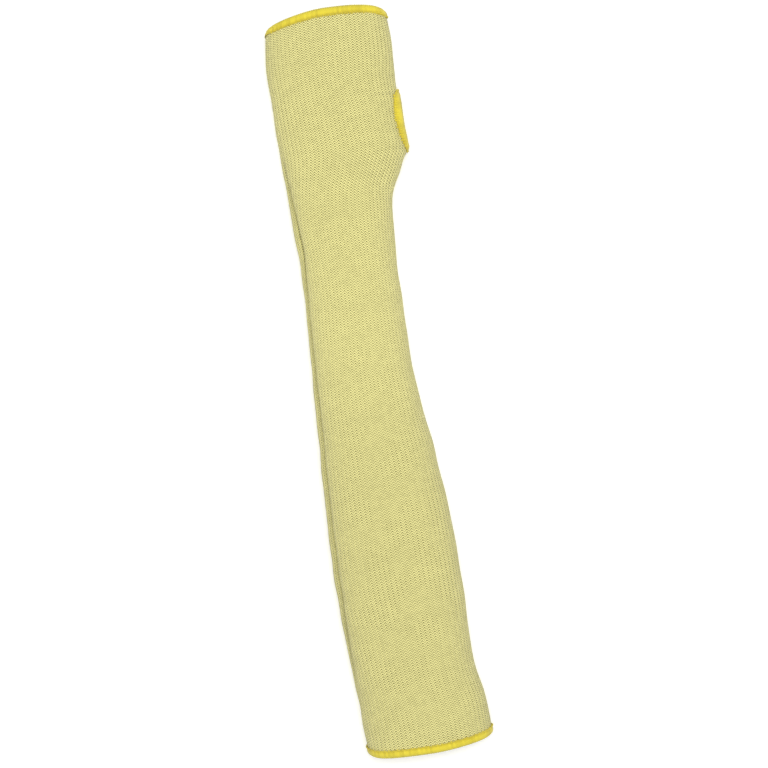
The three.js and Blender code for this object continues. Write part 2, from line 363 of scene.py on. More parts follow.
def pinch_at(along, rise, thumb_side):
    """How far the wall is pinched at a point, by the rims and by the slot."""
    along_over = (along - SLOT_MIDDLE) / (SLOT_LENGTH / 2)
    rise_over = (rise - slot_lift(along)) / (SLOT_OPENING / 2)
    out = (np.abs(along_over) ** SLOT_POWER + np.abs(rise_over) ** SLOT_POWER) ** (1 / SLOT_POWER)
    to_slot = (out - 1) * SLOT_OPENING / 2
    at_rim = pinch_near(RIM_AT - np.abs(along))
    at_slot = np.where(thumb_side, pinch_near(np.maximum(to_slot, 0)), 0)
    return np.maximum(at_rim, at_slot)


def even_angles(along, count, fineness=720):
    """Angles that share out the girth evenly, and the girth. Beside the slot the wales crowd."""
    seam = angle_at_rise(along, slot_lift(along))
    fine = seam + np.linspace(0, 2 * math.pi, fineness)
    steps = np.diff(wall_point(along, fine, 0.0, uneven=0.0), axis=0)
    reached = np.concatenate([[0], np.cumsum(np.linalg.norm(steps, axis=1))])
    girth = reached[-1]
    upper = angle_at_rise(along, slot_lift(along) + slot_rise(along))
    lower = angle_at_rise(along, slot_lift(along) - slot_rise(along)) + 2 * math.pi
    above, below = np.interp((upper, lower), fine, reached)
    run = np.linspace(0, girth, count)
    wide = SLOT_OPENING / 2 * bell((along - SLOT_MIDDLE) / PARTING_REACH)
    crowded = run + parting(run, wide, above) - parting(girth - run, wide, girth - below)
    return np.interp(crowded, reached, fine), girth


def parting(run, wide, lip):
    """How far the wales move away from the slot: a wide and smooth part, and a part by its lip."""
    return wide * np.exp(-run / SLOT_SPREAD) + (lip - wide) * np.exp(-run / LIP_SPREAD)


# Meshes


def add_attribute(piece, name, values, domain):
    layer = piece.data.attributes.new(name, "FLOAT", domain)
    layer.data.foreach_set("value", np.asarray(values, np.float32))


def add_mesh(name, points, faces, uv_maps, material, smooth=True):
    """Makes a piece from points in millimetres, faces of one size and UV maps by face corner."""
    mesh = bpy.data.meshes.new(name)
    faces = np.asarray(faces, np.int32)
    count, corners = faces.shape
    mesh.vertices.add(len(points))
    mesh.vertices.foreach_set("co", (np.asarray(points) * METRES).astype(np.float32).ravel())
    mesh.loops.add(faces.size)
    mesh.loops.foreach_set("vertex_index", faces.ravel())
    mesh.polygons.add(count)
    mesh.polygons.foreach_set("loop_start", np.arange(0, faces.size, corners, dtype=np.int32))
    mesh.polygons.foreach_set("use_smooth", np.full(count, smooth))
    mesh.update(calc_edges=True)
    for uv_name, uv in uv_maps.items():
        layer = mesh.uv_layers.new(name=uv_name)
        layer.data.foreach_set("uv", np.asarray(uv, np.float32).ravel())
    mesh.validate()
    piece = bpy.data.objects.new(name, mesh)
    piece.data.materials.append(material)
    bpy.context.scene.collection.objects.link(piece)
    return piece


def cells(grid):
    """The four corners of each cell of a grid, in order round it."""
    return np.stack([grid[:-1, :-1], grid[1:, :-1], grid[1:, 1:], grid[:-1, 1:]], axis=2)


# Where rows of the mesh cross the slot, in degrees from its ends to its middle
SLOT_TURNS = [0, 0.5, 2, 5, 11, 20, 32, 46, 62, 76, 90]
COURSES_PER_ROW = 2


def knit_rows():
    """Rows along the tube, close together at the ends of the slot."""
    slot_start, slot_end = SLOT_MIDDLE - SLOT_LENGTH / 2, SLOT_MIDDLE + SLOT_LENGTH / 2
    reach = SLOT_LENGTH / 2 * np.cos(np.radians(SLOT_TURNS)) ** (2 / SLOT_POWER)
    reach[-1] = 0
    lower = SLOT_MIDDLE - reach
    upper = SLOT_MIDDLE + reach[-2::-1]
    return np.concatenate(
        [
            stops(-RIM_AT, slot_start, COURSES_PER_ROW * COURSE_PITCH),
            lower,
            upper[:-1],
            stops(slot_end, RIM_AT, COURSES_PER_ROW * COURSE_PITCH),
            [RIM_AT],
        ]
    )


def rib_relief(column, along):
    """How deep the valleys between the wales are. They close under the bindings."""
    across = np.abs((column / COLUMNS_PER_WALE) % 1 - 0.5) * 2
    free = smooth_step((RIM_AT - np.abs(along) - BINDING_WIDTH) / BINDING_WIDTH)
    return RIB_RELIEF * across**2 * free


# The bake map of the knit: a patch for each face of the wall, and thin strips for rims and lips
PATCH_SIZE = (0.48, 0.94)
OUTER_PATCH = (0.01, 0.03)
INNER_PATCH = (0.51, 0.03)
STRIP_START, STRIP_LENGTH = 0.02, 0.96
RIM_LEVELS, RIM_STRIP = (0.0, 0.98), 0.015
LIP_START, LIP_LENGTH = 0.05, 0.9
LIP_LEVELS, LIP_STRIP = (0.494, 0.502), 0.004

FORWARD = [0, 1, 2, 3]
MIRRORED = [0, 3, 2, 1]


def knit_tube():
    """The knit's closed wall: points, faces, UV maps, inside marks and the fold's painted shade."""
    rows = knit_rows()
    columns = np.arange(COLUMNS + 1)
    along = rows[:, None] + 0 * columns[None, :]
    angle = np.stack([even_angles(row, COLUMNS + 1)[0] for row in rows])
    rise = section_at(along)["half_height"] * signed_power(np.sin(angle), 2 / SECTION_POWER)
    pinch = pinch_at(along, rise, np.cos(angle) > 0)
    outer = wall_point(along, angle, pinch + rib_relief(columns[None, :], along))
    inner = wall_point(along, angle, KNIT_WALL - pinch)
    points = np.concatenate([outer.reshape(-1, 3), inner.reshape(-1, 3)])
    fold_painted_shade = np.tile(painted_fold_shade(along, rise, np.cos(angle)).ravel(), 2)

    stitch = uv_grid(columns / COLUMNS_PER_WALE, (along + RIM_AT) / COURSE_PITCH)
    spread = uv_grid(columns / COLUMNS, (along / RIM_AT + 1) / 2)
    faces, stitch_uv, bake_uv = wall_faces(slot_rise(rows) < 1e-6, stitch, spread)
    inside = np.zeros(sum(map(len, faces)))
    inside[len(faces[0]) : len(faces[0]) + len(faces[1])] = 1
    used, faces = drop_unused(np.concatenate(faces))
    uv_maps = {"Stitch": np.concatenate(stitch_uv), "OFBake": np.concatenate(bake_uv)}
    return points[used], faces, uv_maps, inside, fold_painted_shade[used]


def uv_grid(u, v):
    """UV for a grid, from one row of u and the whole grid of v."""
    return np.stack([u + 0 * v, v], axis=-1)


def wall_faces(closed, stitch, spread):
    """Faces of the outer face, the inner face, the rims and the slot's lips, with their UV."""
    # A closed row shares its first point with its last, and an open one has two lips.
    size = stitch.shape[0] * stitch.shape[1]
    outer = np.arange(size).reshape(stitch.shape[:2])
    outer[closed, -1] = outer[closed, 0]
    inner = outer + size
    faces, stitch_uv, bake_uv = [], [], []

    def add(grid, grid_stitch, grid_bake, order):
        faces.append(cells(grid)[:, :, order].reshape(-1, 4))
        stitch_uv.append(cells(grid_stitch)[:, :, order].reshape(-1, 2))
        bake_uv.append(cells(grid_bake)[:, :, order].reshape(-1, 2))

    add(outer, stitch, spread * PATCH_SIZE + OUTER_PATCH, FORWARD)
    add(inner, stitch, spread * PATCH_SIZE + INNER_PATCH, MIRRORED)
    for row, order, level in ((0, FORWARD, RIM_LEVELS[0]), (-1, MIRRORED, RIM_LEVELS[1])):
        rim = np.stack([inner[row], outer[row]])
        low = spread[row] * (STRIP_LENGTH, 0) + (STRIP_START, level)
        add(rim, np.stack([stitch[row]] * 2), np.stack([low, low + (0, RIM_STRIP)]), order)
    open_rows = np.flatnonzero(~closed)
    lips = slice(open_rows[0] - 1, open_rows[-1] + 2)
    for column, order, level in ((0, FORWARD, LIP_LEVELS[0]), (-1, MIRRORED, LIP_LEVELS[1])):
        lip = np.stack([outer[lips, column], inner[lips, column]])
        low = spread[lips, column] * (0, LIP_LENGTH) + (level, LIP_START)
        lip_stitch = np.stack([stitch[lips, column]] * 2)
        add(lip, lip_stitch, np.stack([low, low + (LIP_STRIP, 0)]), order)
    return faces, stitch_uv, bake_uv


def drop_unused(faces):
    """The points that the faces use, and the faces by their places among those."""
    used, renamed = np.unique(faces, return_inverse=True)
    return used, renamed.reshape(faces.shape)


SURVEY_ROWS = 400
SURVEY_TURNS = 240


def shift_to_frame():
    """The shift of the surface to the frame, whose origin lies under the middle of the solids."""
    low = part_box("sleeve_body")[0]
    rows = np.linspace(-RIM_AT, RIM_AT, SURVEY_ROWS)[:, None]
    turns = np.linspace(0, 2 * math.pi, SURVEY_TURNS)[None, :]
    lowest = wall_point(rows, turns, 0.0, uneven=0.0)[..., 0].min()
    return np.array([low[0] / METRES - lowest, 0.0, 0.0])


# Bindings: dense overlock thread over the knit's edge

# The thread. Along a looper thread its UV counts THREAD_TURNS from one end to the other. Where a
# band is narrower than FULL_FROM, its threads get thinner, down to a share of THINNEST.
THREAD_PITCH = 1.42
THREAD_THICKNESS = 0.5
THREAD_TURNS = 14
THREAD_SIDES = 6
FULL_FROM = 2.4
THINNEST = 0.12

# Looper threads: how far each leans on its way over the edge, in pitches, how uneven their lean,
# reach and width are, and their width and height on the knit and over the edge, as shares
WRAP_STEPS = 22
WRAP_LEAN = 0.9
LEAN_SPREAD = 0.07
REACH_SPREAD = 0.3
WIDTH_SPREAD = (0.94, 1.1)
LEG_WIDTH, EDGE_WIDTH = 0.72, 1.06
LEG_HEIGHT, EDGE_HEIGHT = 0.8, 1.15

# The needle thread: its place as a share of the band's width, its sway, how deep it lies and dips
NEEDLE_PLACE = 0.82
NEEDLE_SWAY = 0.12
NEEDLE_SWAYS = 7
NEEDLE_LIE = 0.05
NEEDLE_DIP = 0.75
NEEDLE_DIP_POWER = 6
NEEDLE_RADIUS = 0.26
NEEDLE_STEPS = 8

# The two threads that interlock along the edge: their sway out and in, their swing from one face
# to the other, and how far they lie inside the wrap's outer side
BRAID_SWAY = 0.1
BRAID_SWING = 0.42
BRAID_SINK = 0.22
BRAID_RADIUS = 0.3
BRAID_STEPS = 6

# The bed of thread below them: how far it lies under the outermost threads, and its width and how
# many threads it shows across, for the whole band
BED_SINK = 0.3
BED_WIDTH = 0.88
BED_THREADS = 20

# The bake map of a binding, from its bottom up: where each kind of thread starts, and its height
WRAPS_BAKE = 0.7
BED_BAKE = (0.72, 0.12)
NEEDLE_BAKE = (0.87, 0.04)
BRAID_BAKE = (0.94, 0.04)

# Each kind of thread has its own numbers, which give each thread its own tone
NEEDLE_NUMBER = 2000
BRAID_NUMBER = 3000

# Where a band narrows: the share of the way round, how much of its width goes, and how far it
# takes, as a share of the way round
NARROWINGS = {
    "hand": [(0.5, 0.93, 0.05), (0.0, 0.6, 0.03), (1.0, 0.6, 0.03)],
    "arm": [(0.5, 0.3, 0.04), (0.0, 0.15, 0.04), (1.0, 0.15, 0.04)],
    "thumb": [],
}


def binding_faces(inward):
    """Depths of the inner sides of the binding's two legs, at a distance in from the edge."""
    outer = pinch_near(np.maximum(inward, 0)) - CLEARANCE
    return outer, KNIT_WALL - outer


def wrap_profile(width, slim):
    """A thread's way over the edge: in along one leg, round the edge and out along the other."""
    radius = THREAD_THICKNESS / 2 * slim
    wrap = CLEARANCE + BINDING_THICKNESS * slim
    leg_steps = WRAP_STEPS // 3
    leg = np.linspace(1, 0, leg_steps, endpoint=False) * width
    turn = np.linspace(0, math.pi, WRAP_STEPS - 2 * leg_steps)
    outer_leg, inner_leg = binding_faces(leg)
    outer_end, inner_end = binding_faces(np.array(0.0))
    middle, half = (outer_end + inner_end) / 2, (inner_end - outer_end) / 2 + radius
    inward = np.concatenate([leg, -(wrap - radius) * np.sin(turn), leg[::-1]])
    round_edge = middle - half * np.cos(turn)
    depth = np.concatenate([outer_leg - radius, round_edge, inner_leg[::-1] + radius])
    return inward, depth


def tube_rings(path, across, half_width, half_height):
    """Rings of points round each path, wide along across and thin square to it."""
    tangent = np.gradient(path, axis=1)
    tangent /= np.linalg.norm(tangent, axis=-1, keepdims=True)
    across = across - (across * tangent).sum(-1, keepdims=True) * tangent
    across /= np.linalg.norm(across, axis=-1, keepdims=True)
    up = np.cross(tangent, across)
    turn = np.arange(THREAD_SIDES) * 2 * math.pi / THREAD_SIDES
    wide = across[:, :, None] * (np.cos(turn) * half_width[:, :, None])[..., None]
    thin = up[:, :, None] * (np.sin(turn) * half_height[:, :, None])[..., None]
    return path[:, :, None] + wide + thin


# The bake map of open threads: each has a lane of its own, and its ends have a strip each
LANE_START, LANE_WIDTH = 0.1, 0.8
LANE_RUN = (0.02, 0.98)
END_STRIPS, END_STRIP = (0.002, 0.985), 0.013
END_FACES = ((0, [0, 1, 2, 3]), (0.5, [0, 3, 4, 5]))


def corners_of(left, low, right, high):
    """The UV of the four corners of each of many cells, in order round it."""
    corners = [(left, low), (right, low), (right, high), (left, high)]
    return np.stack([np.stack(corner, axis=-1) for corner in corners], axis=-2)


def tube_mesh(rings):
    """Closed tubes from rings of six points, shaped (tube, step, side). Two faces close an end."""
    tubes, steps, sides = rings.shape[:3]
    index = np.arange(tubes * steps * sides).reshape(tubes, steps, sides)
    over = np.roll(index, -1, axis=2)
    shell = np.stack([index[:, :-1], over[:, :-1], over[:, 1:], index[:, 1:]], axis=-1)
    lane = (np.arange(tubes) + LANE_START) / tubes
    width = LANE_WIDTH / tubes
    share = np.arange(sides + 1) / sides
    step = np.arange(steps) / (steps - 1) * (LANE_RUN[1] - LANE_RUN[0]) + LANE_RUN[0]
    low = np.broadcast_to(step[:-1, None], shell.shape[:3])
    high = np.broadcast_to(step[1:, None], shell.shape[:3])
    edges = (lane[:, None] + share * width)[:, None, :]
    edges = np.broadcast_to(edges, (tubes, steps - 1, sides + 1))
    faces = [shell.reshape(-1, 4)]
    uv = [corners_of(edges[..., :-1], low, edges[..., 1:], high).reshape(-1, 2)]
    for ring, strip in zip((0, -1), END_STRIPS):
        for start, corners in END_FACES:
            left = lane + start * width
            low = np.full(tubes, strip)
            faces.append(index[:, ring, corners])
            uv.append(corners_of(left, low, left + width / 2, low + END_STRIP).reshape(-1, 2))
    return rings.reshape(-1, 3), np.concatenate(faces), np.concatenate(uv)


def loop_mesh(rings):
    """A closed ring of a tube, shaped (step, side)."""
    steps, sides = rings.shape[:2]
    index = np.arange(steps * sides).reshape(steps, sides)
    ahead, over = np.roll(index, -1, axis=0), np.roll(index, -1, axis=1)
    faces = np.stack([index, over, np.roll(ahead, -1, axis=1), ahead], axis=-1)
    left = np.broadcast_to((np.arange(steps) / steps)[:, None], index.shape)
    low = np.broadcast_to(np.arange(sides) / sides, index.shape)
    right, high = left + 1 / steps, low + 1 / sides
    corners = [(left, low), (left, high), (right, high), (right, low)]
    uv = np.stack([np.stack(corner, axis=-1) for corner in corners], axis=-2)
    return rings.reshape(-1, 3), faces.reshape(-1, 4), uv.reshape(-1, 2)


def joined(parts):
    """Joins (points, faces, bake UV, thread UV) parts into one set."""
    offset, points, faces, bakes, threads = 0, [], [], [], []
    for part_points, part_faces, bake, thread in parts:
        points.append(part_points)
        faces.append(part_faces + offset)
        bakes.append(bake)
        threads.append(thread)
        offset += len(part_points)
    return [np.concatenate(kind) for kind in (points, faces, bakes, threads)]


RIM_STOPS = 1441
SLOT_STOPS = 2881


def rim_place(end):
    """A rim's binding as a function of the share of the way round, distance in, and depth."""
    angles, girth = even_angles(end * RIM_AT, RIM_STOPS)
    shares = np.linspace(0, 1, len(angles))

    def place(around, inward, depth):
        angle = np.interp(around % 1, shares, angles)
        return wall_point(end * (RIM_AT - inward), angle, depth)

    return place, girth


def slot_place():
    """The slot's binding as a function of the share of the way round, distance in, and depth."""
    turns = np.linspace(0, 2 * math.pi, SLOT_STOPS)

    def edge(turn):
        along = SLOT_LENGTH / 2 * signed_power(np.cos(turn), 2 / SLOT_POWER)
        return along, SLOT_OPENING / 2 * signed_power(np.sin(turn), 2 / SLOT_POWER)

    steps = np.hypot(*np.diff(edge(turns), axis=1))
    reached = np.concatenate([[0], np.cumsum(steps)])

    def place(around, inward, depth):
        turn = np.interp(around % 1, reached / reached[-1], turns)
        power = 2 - 2 / SLOT_POWER
        away_along = signed_power(np.cos(turn), power) / SLOT_LENGTH
        away_rise = signed_power(np.sin(turn), power) / SLOT_OPENING
        size = np.hypot(away_along, away_rise)
        edge_along, edge_rise = edge(turn)
        along = SLOT_MIDDLE + edge_along + away_along / size * inward
        rise = slot_lift(along) + edge_rise + away_rise / size * inward
        return wall_point(along, angle_at_rise(along, rise), depth)

    return place, reached[-1]


def along_edge(place, around, inward, depth):
    """The direction along an edge."""
    step = 1e-4
    return place(around + step, inward, depth) - place(around - step, inward, depth)


def across_edge(place, around, inward, depth):
    """The direction from an edge into the knit."""
    step = 0.1
    return place(around, inward + step, depth) - place(around, inward - step, depth)


def band_width(rim, width):
    """The width of a rim's band as a function of the share of the way round."""

    def at(around):
        taken = np.zeros_like(around)
        for place, share, reach in NARROWINGS[rim]:
            taken = taken + share * bell((around - place) / reach)
        return width * (1 - taken)

    return at


def slimness(width):
    """How thick the thread lies, as a share: it thins out where a band narrows to a tip."""
    return THINNEST + (1 - THINNEST) * smooth_step(width / FULL_FROM)


def strip_of(uv, strip):
    """The bake UV of a closed ring, laid in a strip of the binding's bake map."""
    start, height = strip
    return uv * (STRIP_LENGTH, height) + (STRIP_START, start)


def wraps(place, girth, width):
    """The looper threads, each of which goes over the edge from one face to the other."""
    count = round(girth / THREAD_PITCH)
    reach = width(np.arange(count) / count) + random.uniform(-REACH_SPREAD, REACH_SPREAD, count)
    slim = slimness(reach)
    inward, depth = np.stack([wrap_profile(*one) for one in zip(reach, slim)], axis=1)
    share = np.arange(WRAP_STEPS) / (WRAP_STEPS - 1)
    lean = WRAP_LEAN * (share - 0.5) + random.uniform(-LEAN_SPREAD, LEAN_SPREAD, (count, 1))
    around = (np.arange(count)[:, None] + lean) / count
    path = place(around, inward, depth)
    across = along_edge(place, around, inward, depth)
    over_edge = np.sin(math.pi * share) ** 0.5
    taper = LEG_WIDTH + (EDGE_WIDTH - LEG_WIDTH) * over_edge
    half_width = girth / count / 2 * taper * random.uniform(*WIDTH_SPREAD, (count, 1))
    round_off = LEG_HEIGHT + (EDGE_HEIGHT - LEG_HEIGHT) * over_edge
    half_height = THREAD_THICKNESS / 2 * round_off * slim[:, None]
    points, faces, uv = tube_mesh(tube_rings(path, across, half_width, half_height))
    return points, faces, uv * (1, WRAPS_BAKE), uv * (count, THREAD_TURNS)


def ring_thread(path, across, radius):
    """A thread all the way round, which meets itself."""
    path, across = (np.concatenate([line, line[:1]])[None] for line in (path, across))
    radius = np.append(radius, radius[0])[None]
    return loop_mesh(tube_rings(path, across, radius, radius)[0, :-1])


def needle_line(place, girth, width):
    """The needle thread, which dips into the knit between its stitches."""
    count = round(girth / THREAD_PITCH / 2)
    around = np.arange(count * NEEDLE_STEPS) / (count * NEEDLE_STEPS)
    slim = slimness(width(around))
    sway = NEEDLE_SWAY * slim * np.sin(2 * math.pi * around * NEEDLE_SWAYS + 1)
    inward = width(around) * NEEDLE_PLACE + sway
    dip = NEEDLE_DIP * np.abs(np.cos(math.pi * around * count)) ** NEEDLE_DIP_POWER
    depth = binding_faces(inward)[0] - (BINDING_THICKNESS - NEEDLE_LIE - dip) * slim
    path = place(around, inward, depth)
    across = across_edge(place, around, inward, depth)
    points, faces, uv = ring_thread(path, across, NEEDLE_RADIUS * slim)
    thread = np.stack([uv[:, 1] + NEEDLE_NUMBER, uv[:, 0] * girth], axis=1)
    return points, faces, strip_of(uv, NEEDLE_BAKE), thread


def edge_braid(place, girth, width):
    """Two looper threads interlock along the very edge, in a fine zigzag."""
    count = round(girth / THREAD_PITCH)
    around = np.arange(count * BRAID_STEPS) / (count * BRAID_STEPS)
    turn = 2 * math.pi * around * count
    slim = slimness(width(around))
    inward = (BRAID_SWAY * np.cos(turn) + BRAID_SINK - BINDING_THICKNESS) * slim - CLEARANCE
    depth = KNIT_WALL / 2 + BRAID_SWING * np.sin(turn)
    path = place(around, inward, depth)
    outward = -across_edge(place, around, inward, depth)
    points, faces, uv = ring_thread(path, outward, BRAID_RADIUS * slim)
    thread = np.stack([uv[:, 1] + BRAID_NUMBER, np.full(len(uv), THREAD_TURNS / 2)], axis=1)
    return points, faces, strip_of(uv, BRAID_BAKE), thread


def thread_bed(place, girth, width):
    """The layers of thread under the outermost ones, a channel over the knit's edge."""
    steps = round(girth / THREAD_PITCH)
    around = (np.arange(steps) / steps)[:, None]
    thickness = (BINDING_THICKNESS - BED_SINK) * slimness(width(around))
    over = np.tile(-CLEARANCE - thickness, 2)
    under = np.full((steps, 2), -CLEARANCE)
    edge = np.tile((KNIT_WALL / 4, KNIT_WALL * 3 / 4), (steps, 1))
    leg = np.array([1.0, 0.5, 0.0]) * width(around) * BED_WIDTH
    back = leg[:, ::-1]
    outer, inner = binding_faces(leg)
    inward = np.hstack([leg, over, back, leg, under, back])
    depth = np.hstack(
        [
            outer - thickness,
            edge,
            (inner + thickness)[:, ::-1],
            inner,
            edge[:, ::-1],
            outer[:, ::-1],
        ]
    )
    points, faces, uv = loop_mesh(place(around + 0 * inward, inward, depth))
    return points, faces, strip_of(uv, BED_BAKE), uv * (steps, BED_THREADS)


def overlock(name, node, place, girth, width, shift, material):
    """The whole binding of one edge, as one piece."""
    points, faces, bake, thread = joined(
        [
            wraps(place, girth, width),
            needle_line(place, girth, width),
            edge_braid(place, girth, width),
            thread_bed(place, girth, width),
        ]
    )
    piece = add_mesh(name, points + shift, faces, {"Thread": thread, "OFBake": bake}, material)
    face_outwards(piece)
    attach(piece, "root")
    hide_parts(node)


def face_outwards(piece):
    """Turns the faces of closed threads to look out of them."""
    shape = bmesh.new()
    shape.from_mesh(piece.data)
    bmesh.ops.recalc_face_normals(shape, faces=shape.faces)
    shape.to_mesh(piece.data)
    shape.free()


# Materials


class Field:
    """A number over a surface: a socket of a node tree, with arithmetic."""

    def __init__(self, tree, socket):
        self.tree = tree
        self.socket = socket

    def math(self, operation, *others, clamp=False):
        node = self.tree.nodes.new("ShaderNodeMath")
        node.operation = operation
        node.use_clamp = clamp
        for slot, value in zip(node.inputs, (self, *others)):
            if isinstance(value, Field):
                self.tree.links.new(value.socket, slot)
            else:
                slot.default_value = value
        return Field(self.tree, node.outputs[0])

    def __add__(self, other):
        return self.math("ADD", other)

    def __radd__(self, other):
        return self.math("ADD", other)

    def __sub__(self, other):
        return self.math("SUBTRACT", other)

    def __rsub__(self, other):
        return self.math("MULTIPLY_ADD", -1.0, other)

    def __mul__(self, other):
        return self.math("MULTIPLY", other)

    def fract(self):
        return self.math("FRACT")

    def floor(self):
        return self.math("FLOOR")

    def size(self):
        return self.math("ABSOLUTE")

    def power(self, exponent):
        return self.math("POWER", exponent)

    def sine(self):
        return self.math("SINE")

    def clamped(self):
        return self.math("ADD", 0.0, clamp=True)

    def smooth(self, low, high):
        """Rises smoothly from 0 at low to 1 at high."""
        node = self.tree.nodes.new("ShaderNodeMapRange")
        node.interpolation_type = "SMOOTHSTEP"
        self.tree.links.new(self.socket, node.inputs["Value"])
        node.inputs["From Min"].default_value = low
        node.inputs["From Max"].default_value = high
        return Field(self.tree, node.outputs["Result"])


def uv_fields(tree, name):
    """The two coordinates of a UV map."""
    source = tree.nodes.new("ShaderNodeUVMap")
    source.uv_map = name
    split = tree.nodes.new("ShaderNodeSeparateXYZ")
    tree.links.new(source.outputs["UV"], split.inputs["Vector"])
    return Field(tree, split.outputs["X"]), Field(tree, split.outputs["Y"])


def vector_of(tree, x, y):
    join = tree.nodes.new("ShaderNodeCombineXYZ")
    for slot, value in zip(join.inputs, (x, y)):
        if isinstance(value, Field):
            tree.links.new(value.socket, slot)
        else:
            slot.default_value = value
    return join.outputs["Vector"]


def attribute_of(tree, name):
    node = tree.nodes.new("ShaderNodeAttribute")
    node.attribute_name = name
    return Field(tree, node.outputs["Fac"])


def random_of(tree, x, y):
    """A random number from 0 to 1 for each pair of whole numbers."""
    node = tree.nodes.new("ShaderNodeTexWhiteNoise")
    node.noise_dimensions = "2D"
    tree.links.new(vector_of(tree, x, y), node.inputs["Vector"])
    return Field(tree, node.outputs["Value"])


def noise_of(tree, vector, scale, detail=2.0):
    """Smooth noise from 0 to 1, with a scale in turns for each unit of the vector."""
    node = tree.nodes.new("ShaderNodeTexNoise")
    tree.links.new(vector, node.inputs["Vector"])
    node.inputs["Scale"].default_value = scale
    node.inputs["Detail"].default_value = detail
    return Field(tree, node.outputs["Fac"])


def place_on_object(tree):
    return tree.nodes.new("ShaderNodeTexCoord").outputs["Object"]


def mixed_colour(tree, factor, start, end):
    """A mix of two colours, each of which is fixed or a socket."""
    mix = tree.nodes.new("ShaderNodeMix")
    mix.data_type = "RGBA"
    tree.links.new(factor.socket, mix.inputs["Factor"])
    for slot, colour in (("A", start), ("B", end)):
        if isinstance(colour, tuple):
            mix.inputs[slot].default_value = (*colour, 1)
        else:
            tree.links.new(colour, mix.inputs[slot])
    return mix.outputs["Result"]


def brightened(tree, colour, value):
    node = tree.nodes.new("ShaderNodeHueSaturation")
    tree.links.new(colour, node.inputs["Color"])
    tree.links.new(value.socket, node.inputs["Value"])
    return node.outputs["Color"]


def cloth_material(name, sheen):
    """A matt cloth with a soft sheen, whose colour and relief are set by its maker."""
    material = bpy.data.materials.new(name)
    material.use_nodes = True
    shader = material.node_tree.nodes["Principled BSDF"]
    shader.inputs["Roughness"].default_value = CLOTH_ROUGHNESS
    shader.inputs["Specular IOR Level"].default_value = CLOTH_SPECULAR
    shader.inputs["Sheen Weight"].default_value = sheen
    shader.inputs["Sheen Roughness"].default_value = SHEEN_ROUGHNESS
    return material, material.node_tree, shader


def set_relief(tree, shader, height, depth):
    """Bump from a height of 0 to 1, which stands for a depth in millimetres."""
    bump = tree.nodes.new("ShaderNodeBump")
    bump.inputs["Distance"].default_value = depth * METRES
    tree.links.new(height.socket, bump.inputs["Height"])
    tree.links.new(bump.outputs["Normal"], shader.inputs["Normal"])


# The knit runs from its yarn's own colour to the painted shade between its yarns
KNIT_LIGHT = (0.95, 0.885, 0.355)
KNIT_PAINTED_SHADE = (0.09, 0.08, 0.014)
# The thread runs from its own colour to painted shade between its plies and by the knit, with olive
# painted shade round the edge
THREAD_LIGHT = (0.84, 0.7, 0.052)
THREAD_DARK = (0.36, 0.265, 0.018)
THREAD_RIM_PAINTED_SHADE = (0.46, 0.45, 0.06)
FLOOR_GREY = (0.93, 0.93, 0.93)
FLOOR_GLOW = 0.22
CLOTH_ROUGHNESS = 0.88
CLOTH_SPECULAR = 0.25
SHEEN_ROUGHNESS = 0.6

# Stitches, with across as 0 at the middle of a wale and 1 at the valley beside it, and courses as
# the unit along. A leg slopes towards the valley, where a hole lies under each.
LEG_SLOPE = 0.95
LEG_POWER = 2.2
VALLEY_ACROSS = (0.45, 0.95)
GROOVE_ACROSS = (0.0, 0.2)
RIB_ACROSS = (0.5, 1.0)
HOLE_LEG = (0.2, 0.8)
BACK_ARC = 0.3

# Where the knit is looser and lighter, in courses, and where it lies folded, in wales
LOOSE_COURSES = (0.35 * COURSES, 0.9 * COURSES)
LIGHT_COURSES = (0.35 * COURSES, 0.6 * COURSES)
FOLD_WALES = 0.2 * WALES
SIDE_SHARE = (0.4, 1.0)

# How open the holes are: at least, more where loose, more in patches, and less by the fold
HOLE_LEAST = 0.26
HOLE_LOOSE = 0.42
HOLE_PATCHY = 0.66
HOLE_FOLDED = 0.5

# How much each thing darkens the knit: painted shade in holes, between legs, in grooves, rib
# valleys, between back bars and in the fold
HOLE_PAINTED_SHADE = 1.3
LEG_PAINTED_SHADE = 0.6
LOOSE_PAINTED_SHADE = 0.16
GROOVE_PAINTED_SHADE = 0.12
PAINTED_RIB_SHADE = 0.3
SIDE_CALM = 0.3
BAR_PAINTED_SHADE = 0.3
STITCH_SPREAD = 0.11
PAINTED_FOLD_SHADE = 0.4

# How bright the knit is, and by how much that varies
KNIT_VALUE = 0.876
PATCH_VALUE = 0.04
LIGHT_VALUE = 0.11
FIBRE_SPREAD = 0.3
BLOTCH_SPREAD = 0.05
STRIPE_SPREAD = 0.09

# Noise: patches and blotches by the metre, fibres by the wale and course, stripes by the course
PATCH_SCALE = 62
PATCH_RANGE = (0.36, 0.62)
BLOTCH_SCALE = 16
FIBRES_A_WALE = 5
FIBRES_A_COURSE = 4
STRIPES_A_COURSE = 0.11

# Relief of the knit, in millimetres and as shares of it
KNIT_RELIEF = 0.3
VALLEY_RELIEF = 0.45
GROOVE_RELIEF = 0.35
FIBRE_RELIEF = 0.15


